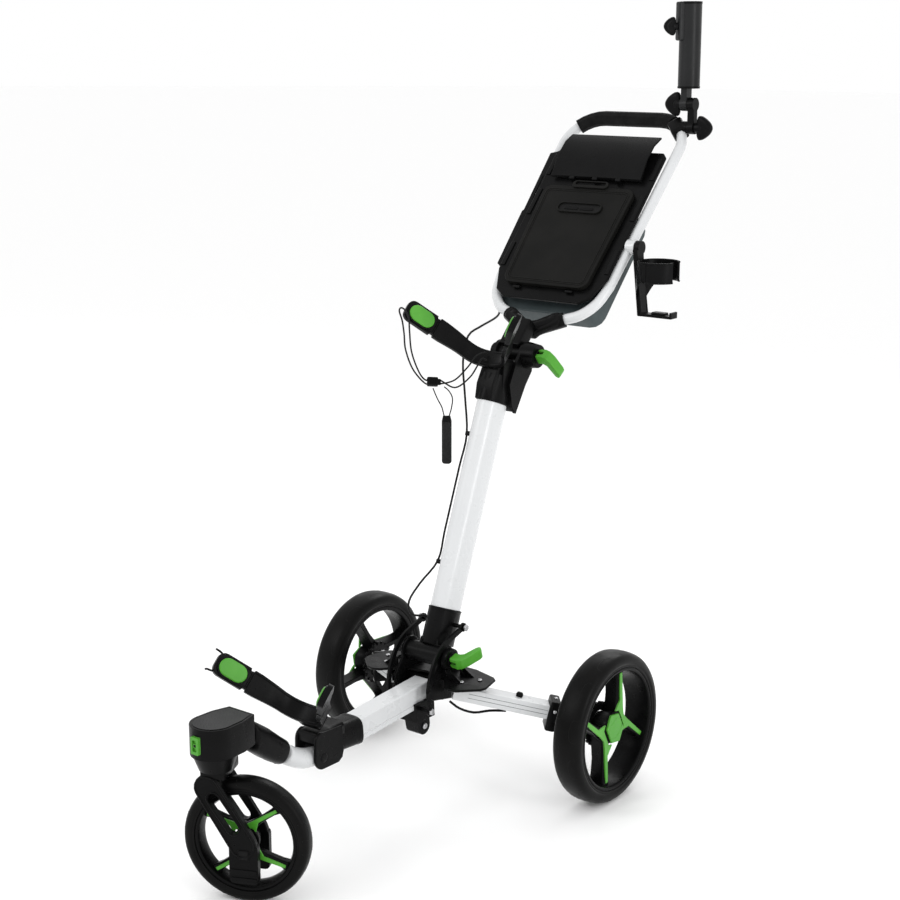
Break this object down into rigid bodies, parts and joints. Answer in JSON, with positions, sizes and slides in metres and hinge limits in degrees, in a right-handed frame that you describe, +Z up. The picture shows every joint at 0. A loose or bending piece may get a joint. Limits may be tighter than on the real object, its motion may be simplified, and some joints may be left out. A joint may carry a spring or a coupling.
{
  "type": "golf push trolley",
  "caption": "Folding three-wheeled golf push trolley with bag brackets, swivelling front wheel, console, bottle holder and umbrella holder.",
  "frame": {"origin": "on the floor, under the middle of the bounding box in plan", "axes": "+X trolley's left side, -Y the way it is pushed, +Z up"},
  "size_m": [0.641, 1.3102, 1.474],
  "materials": {
    "white_paint": "gloss white paint on aluminium tube",
    "black_plastic": "fine-grained satin black plastic",
    "rubber": "matt solid foam rubber",
    "foam_grip": "soft closed-cell foam",
    "green_plastic": "semi-gloss bright green plastic",
    "slate_plastic": "satin dark blue-grey plastic",
    "steel": "zinc-plated steel",
    "black_cord": "black braided cord and cable sleeve",
    "woven_tag": "black woven webbing"
  },
  "bodies": {
    "base": {"front_tube": "white_paint", "front_joint": "black_plastic", "hub": "black_plastic", "fold_bolt": "steel", "wing_plate": "black_plastic", "lower_bag_bracket": "black_plastic", "lower_bag_pad_left": "green_plastic", "lower_bag_pad_right": "green_plastic"},
    "link_slider": {"link_clevis": "black_plastic"},
    "fold_links": {"fold_link_left": "black_plastic", "fold_link_right": "black_plastic"},
    "main": {"main_lower_sleeve": "black_plastic", "main_tube": "white_paint", "main_upper_sleeve": "black_plastic", "upper_bag_bracket": "black_plastic", "upper_bag_pad_left": "green_plastic", "upper_bag_pad_right": "green_plastic", "brake_cable": "black_cord", "bag_cord": "black_cord", "cord_lock": "black_plastic", "name_tag": "woven_tag"},
    "lower_lever": {"lower_cam_lever": "green_plastic"},
    "upper_lever": {"upper_cam_lever": "green_plastic"},
    "left_arm": {"left_arm_tube": "white_paint", "left_wheel_bracket": "black_plastic", "left_brake_rod": "steel"},
    "left_wheel": {"left_tyre": "rubber", "left_rim": "black_plastic", "left_hub_cap": "green_plastic"},
    "right_arm": {"right_arm_tube": "white_paint", "right_wheel_bracket": "black_plastic", "right_brake_rod": "steel"},
    "right_wheel": {"right_tyre": "rubber", "right_rim": "black_plastic", "right_hub_cap": "green_plastic"},
    "front_arm": {"front_curved_tube": "white_paint", "front_sleeve": "black_plastic", "caster_head": "black_plastic"},
    "swivel_lock": {"swivel_lock_button": "green_plastic"},
    "fork": {"fork": "black_plastic"},
    "front_wheel": {"front_tyre": "rubber", "front_rim": "black_plastic"},
    "handle": {"handle_loop": "white_paint", "grip": "foam_grip", "handle_yoke": "black_plastic", "console_tray": "black_plastic", "storage_bin": "slate_plastic", "cup_boss": "white_paint", "umbrella_clamp": "black_plastic", "brake_mount": "black_plastic", "brake_cable_top": "black_cord"},
    "console_lid": {"console_lid": "black_plastic"},
    "card_flap": {"card_flap": "black_plastic"},
    "cup_holder": {"cup_holder": "black_plastic"},
    "umbrella_knuckle": {"umbrella_knuckle": "black_plastic"},
    "umbrella_tube": {"umbrella_tube": "black_plastic"},
    "umbrella_knob_low": {"umbrella_knob_low": "black_plastic"},
    "umbrella_knob_mid": {"umbrella_knob_mid": "black_plastic"},
    "umbrella_knob_top": {"umbrella_knob_top": "black_plastic"},
    "brake_lever": {"brake_lever": "black_plastic"}
  },
  "joints": [
    {"name": "main_fold", "type": "hinge", "parent": "base", "child": "main", "pos_m": [0, -0.0496, 0.275], "axis": [1, 0, 0], "range_deg": [0, 90]},
    {"name": "handle_fold", "type": "hinge", "parent": "main", "child": "handle", "pos_m": [0, 0.2224, 0.81], "axis": [1, 0, 0], "range_deg": [-115, 0]},
    {"name": "left_arm_fold", "type": "hinge", "parent": "base", "child": "left_arm", "pos_m": [0.075, -0.0436, 0.21], "axis": [0, 0, 1], "range_deg": [0, 30]},
    {"name": "right_arm_fold", "type": "hinge", "parent": "base", "child": "right_arm", "pos_m": [-0.075, -0.0436, 0.21], "axis": [0, 0, 1], "range_deg": [-30, 0]},
    {"name": "link_slide", "type": "slide", "parent": "base", "child": "link_slider", "axis": [0, -0.9978, -0.0663], "range_m": [0, 0.09]},
    {"name": "link_turn", "type": "hinge", "parent": "link_slider", "child": "fold_links", "pos_m": [0, -0.1016, 0.186], "axis": [1, 0, 0], "range_deg": [0, 5]},
    {"name": "left_wheel_spin", "type": "hinge", "parent": "left_arm", "child": "left_wheel", "pos_m": [0.291, 0.1244, 0.145], "axis": [1, 0, 0], "continuous": true},
    {"name": "right_wheel_spin", "type": "hinge", "parent": "right_arm", "child": "right_wheel", "pos_m": [-0.291, 0.1244, 0.145], "axis": [1, 0, 0], "continuous": true},
    {"name": "front_fold", "type": "hinge", "parent": "base", "child": "front_arm", "pos_m": [0, -0.3716, 0.18], "axis": [1, 0, 0], "range_deg": [0, 60]},
    {"name": "swivel_lock_press", "type": "slide", "parent": "front_arm", "child": "swivel_lock", "axis": [0, 1, 0], "range_m": [0, 0.003], "stiffness_N_per_m": 400},
    {"name": "caster_swivel", "type": "hinge", "parent": "front_arm", "child": "fork", "pos_m": [0, -0.6086, 0.25], "axis": [0, 0, 1], "continuous": true},
    {"name": "front_wheel_spin", "type": "hinge", "parent": "fork", "child": "front_wheel", "pos_m": [0.03541, -0.57333, 0.1096], "axis": [0.4226, -0.9063, 0], "continuous": true},
    {"name": "lower_lever_turn", "type": "hinge", "parent": "base", "child": "lower_lever", "pos_m": [0.062, -0.0496, 0.275], "axis": [1, 0, 0], "range_deg": [0, 90]},
    {"name": "upper_lever_turn", "type": "hinge", "parent": "main", "child": "upper_lever", "pos_m": [0.0595, 0.2224, 0.81], "axis": [1, 0, 0], "range_deg": [0, 90]},
    {"name": "lid_open", "type": "hinge", "parent": "handle", "child": "console_lid", "pos_m": [0, 0.32378, 0.92599], "axis": [1, 0, 0], "range_deg": [0, 95]},
    {"name": "flap_lift", "type": "hinge", "parent": "handle", "child": "card_flap", "pos_m": [0, 0.57578, 1.20644], "axis": [-1, 0, 0], "range_deg": [0, 80]},
    {"name": "cup_holder_swing", "type": "hinge", "parent": "handle", "child": "cup_holder", "pos_m": [0.152, 0.4199, 1.007], "axis": [1, 0, 0], "range_deg": [-45, 45]},
    {"name": "umbrella_lower_tilt", "type": "hinge", "parent": "handle", "child": "umbrella_knuckle", "pos_m": [0.15, 0.6224, 1.228], "axis": [1, 0, 0], "range_deg": [-30, 30]},
    {"name": "umbrella_upper_tilt", "type": "hinge", "parent": "umbrella_knuckle", "child": "umbrella_tube", "pos_m": [0.14, 0.6224, 1.274], "axis": [1, 0, 0], "range_deg": [-60, 60]},
    {"name": "umbrella_knob_low_turn", "type": "hinge", "parent": "umbrella_knuckle", "child": "umbrella_knob_low", "pos_m": [0.169, 0.6224, 1.228], "axis": [1, 0, 0], "continuous": true},
    {"name": "umbrella_knob_mid_turn", "type": "hinge", "parent": "umbrella_tube", "child": "umbrella_knob_mid", "pos_m": [0.112, 0.6224, 1.274], "axis": [1, 0, 0], "continuous": true},
    {"name": "umbrella_knob_top_turn", "type": "hinge", "parent": "umbrella_tube", "child": "umbrella_knob_top", "pos_m": [0.136, 0.6264, 1.426], "axis": [-0.5, -0.866, 0], "continuous": true},
    {"name": "brake_lever_pull", "type": "hinge", "parent": "handle", "child": "brake_lever", "pos_m": [-0.135, 0.51009, 1.05342], "axis": [1, 0, 0], "range_deg": [-30, 0]}
  ],
  "couplings": [
    {"joint": "left_arm_fold", "follows": "main_fold", "ratio": 0.33333},
    {"joint": "right_arm_fold", "follows": "main_fold", "ratio": -0.33333},
    {"joint": "link_slide", "follows": "main_fold", "m_per_rad": 0.055},
    {"joint": "link_turn", "follows": "main_fold", "ratio": 0.049}
  ]
}
